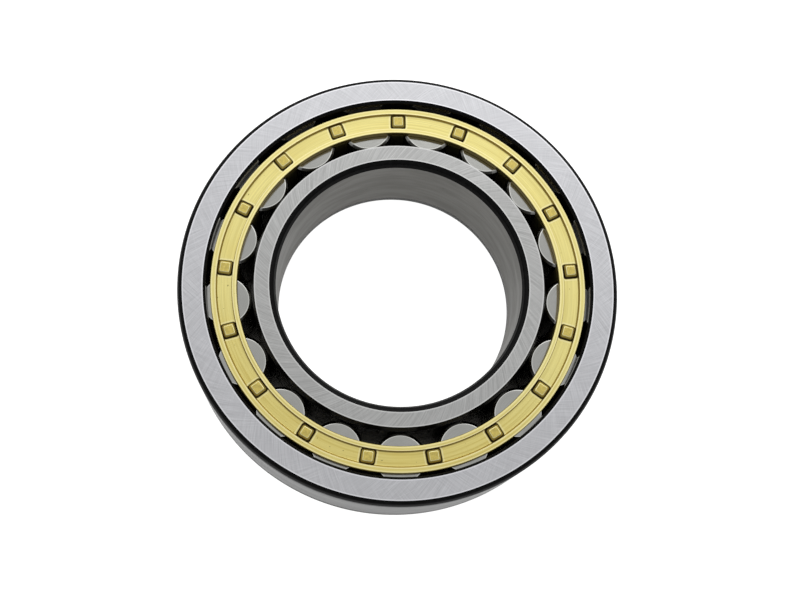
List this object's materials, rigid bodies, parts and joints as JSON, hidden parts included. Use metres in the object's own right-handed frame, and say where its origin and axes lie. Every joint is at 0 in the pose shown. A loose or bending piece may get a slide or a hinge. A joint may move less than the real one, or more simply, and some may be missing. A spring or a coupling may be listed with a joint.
{
  "type": "cylindrical roller bearing",
  "caption": "Cylindrical roller bearing: ribbed outer ring, inner ring that slides out at its plain side, cylindrical rollers, riveted brass cage.",
  "frame": {"origin": "on the axis of rotation, halfway through the bearing's width", "axes": "+Z along the axis of rotation, towards the inner ring's plain side and the cage's rivet heads; the first roller is 9.8 degrees from +X"},
  "size_m": [0.125, 0.125, 0.031],
  "materials": {
    "outer_ring_steel": "satin",
    "inner_ring_steel": "satin",
    "roller_steel": "gloss",
    "cage_brass": "satin"
  },
  "bodies": {
    "outer_ring": {"outer_ring": "outer_ring_steel"},
    "inner_ring": {"inner_ring": "inner_ring_steel"},
    "cage": {"cage_comb": "cage_brass", "cage_side_ring": "cage_brass"},
    "roller_01": {"roller_01": "roller_steel"},
    "roller_02": {"roller_02": "roller_steel"},
    "roller_03": {"roller_03": "roller_steel"},
    "roller_04": {"roller_04": "roller_steel"},
    "roller_05": {"roller_05": "roller_steel"},
    "roller_06": {"roller_06": "roller_steel"},
    "roller_07": {"roller_07": "roller_steel"},
    "roller_08": {"roller_08": "roller_steel"},
    "roller_09": {"roller_09": "roller_steel"},
    "roller_10": {"roller_10": "roller_steel"},
    "roller_11": {"roller_11": "roller_steel"},
    "roller_12": {"roller_12": "roller_steel"},
    "roller_13": {"roller_13": "roller_steel"},
    "roller_14": {"roller_14": "roller_steel"},
    "roller_15": {"roller_15": "roller_steel"},
    "roller_16": {"roller_16": "roller_steel"},
    "roller_17": {"roller_17": "roller_steel"}
  },
  "joints": [
    {"name": "inner_ring_spin", "type": "hinge", "parent": "outer_ring", "child": "inner_ring", "pos_m": [0, 0, 0], "axis": [0, 0, 1], "continuous": true},
    {"name": "cage_orbit", "type": "hinge", "parent": "outer_ring", "child": "cage", "pos_m": [0, 0, 0], "axis": [0, 0, 1], "continuous": true},
    {"name": "roller_01_spin", "type": "hinge", "parent": "cage", "child": "roller_01", "pos_m": [0.04853, 0.00838, 0], "axis": [0, 0, 1], "continuous": true},
    {"name": "roller_02_spin", "type": "hinge", "parent": "cage", "child": "roller_02", "pos_m": [0.04223, 0.02535, 0], "axis": [0, 0, 1], "continuous": true},
    {"name": "roller_03_spin", "type": "hinge", "parent": "cage", "child": "roller_03", "pos_m": [0.03022, 0.03889, 0], "axis": [0, 0, 1], "continuous": true},
    {"name": "roller_04_spin", "type": "hinge", "parent": "cage", "child": "roller_04", "pos_m": [0.01413, 0.04718, 0], "axis": [0, 0, 1], "continuous": true},
    {"name": "roller_05_spin", "type": "hinge", "parent": "cage", "child": "roller_05", "pos_m": [-0.00387, 0.0491, 0], "axis": [0, 0, 1], "continuous": true},
    {"name": "roller_06_spin", "type": "hinge", "parent": "cage", "child": "roller_06", "pos_m": [-0.02134, 0.04438, 0], "axis": [0, 0, 1], "continuous": true},
    {"name": "roller_07_spin", "type": "hinge", "parent": "cage", "child": "roller_07", "pos_m": [-0.03594, 0.03368, 0], "axis": [0, 0, 1], "continuous": true},
    {"name": "roller_08_spin", "type": "hinge", "parent": "cage", "child": "roller_08", "pos_m": [-0.04568, 0.01842, 0], "axis": [0, 0, 1], "continuous": true},
    {"name": "roller_09_spin", "type": "hinge", "parent": "cage", "child": "roller_09", "pos_m": [-0.04925, 0.00068, 0], "axis": [0, 0, 1], "continuous": true},
    {"name": "roller_10_spin", "type": "hinge", "parent": "cage", "child": "roller_10", "pos_m": [-0.04616, -0.01716, 0], "axis": [0, 0, 1], "continuous": true},
    {"name": "roller_11_spin", "type": "hinge", "parent": "cage", "child": "roller_11", "pos_m": [-0.03685, -0.03268, 0], "axis": [0, 0, 1], "continuous": true},
    {"name": "roller_12_spin", "type": "hinge", "parent": "cage", "child": "roller_12", "pos_m": [-0.02256, -0.04378, 0], "axis": [0, 0, 1], "continuous": true},
    {"name": "roller_13_spin", "type": "hinge", "parent": "cage", "child": "roller_13", "pos_m": [-0.00522, -0.04897, 0], "axis": [0, 0, 1], "continuous": true},
    {"name": "roller_14_spin", "type": "hinge", "parent": "cage", "child": "roller_14", "pos_m": [0.01282, -0.04755, 0], "axis": [0, 0, 1], "continuous": true},
    {"name": "roller_15_spin", "type": "hinge", "parent": "cage", "child": "roller_15", "pos_m": [0.02914, -0.03971, 0], "axis": [0, 0, 1], "continuous": true},
    {"name": "roller_16_spin", "type": "hinge", "parent": "cage", "child": "roller_16", "pos_m": [0.04151, -0.0265, 0], "axis": [0, 0, 1], "continuous": true},
    {"name": "roller_17_spin", "type": "hinge", "parent": "cage", "child": "roller_17", "pos_m": [0.04828, -0.00971, 0], "axis": [0, 0, 1], "continuous": true}
  ],
  "couplings": [
    {"joint": "cage_orbit", "follows": "inner_ring_spin", "ratio": 0.42386},
    {"joint": "roller_01_spin", "follows": "inner_ring_spin", "ratio": -3.2072},
    {"joint": "roller_02_spin", "follows": "inner_ring_spin", "ratio": -3.2072},
    {"joint": "roller_03_spin", "follows": "inner_ring_spin", "ratio": -3.2072},
    {"joint": "roller_04_spin", "follows": "inner_ring_spin", "ratio": -3.2072},
    {"joint": "roller_05_spin", "follows": "inner_ring_spin", "ratio": -3.2072},
    {"joint": "roller_06_spin", "follows": "inner_ring_spin", "ratio": -3.2072},
    {"joint": "roller_07_spin", "follows": "inner_ring_spin", "ratio": -3.2072},
    {"joint": "roller_08_spin", "follows": "inner_ring_spin", "ratio": -3.2072},
    {"joint": "roller_09_spin", "follows": "inner_ring_spin", "ratio": -3.2072},
    {"joint": "roller_10_spin", "follows": "inner_ring_spin", "ratio": -3.2072},
    {"joint": "roller_11_spin", "follows": "inner_ring_spin", "ratio": -3.2072},
    {"joint": "roller_12_spin", "follows": "inner_ring_spin", "ratio": -3.2072},
    {"joint": "roller_13_spin", "follows": "inner_ring_spin", "ratio": -3.2072},
    {"joint": "roller_14_spin", "follows": "inner_ring_spin", "ratio": -3.2072},
    {"joint": "roller_15_spin", "follows": "inner_ring_spin", "ratio": -3.2072},
    {"joint": "roller_16_spin", "follows": "inner_ring_spin", "ratio": -3.2072},
    {"joint": "roller_17_spin", "follows": "inner_ring_spin", "ratio": -3.2072}
  ]
}
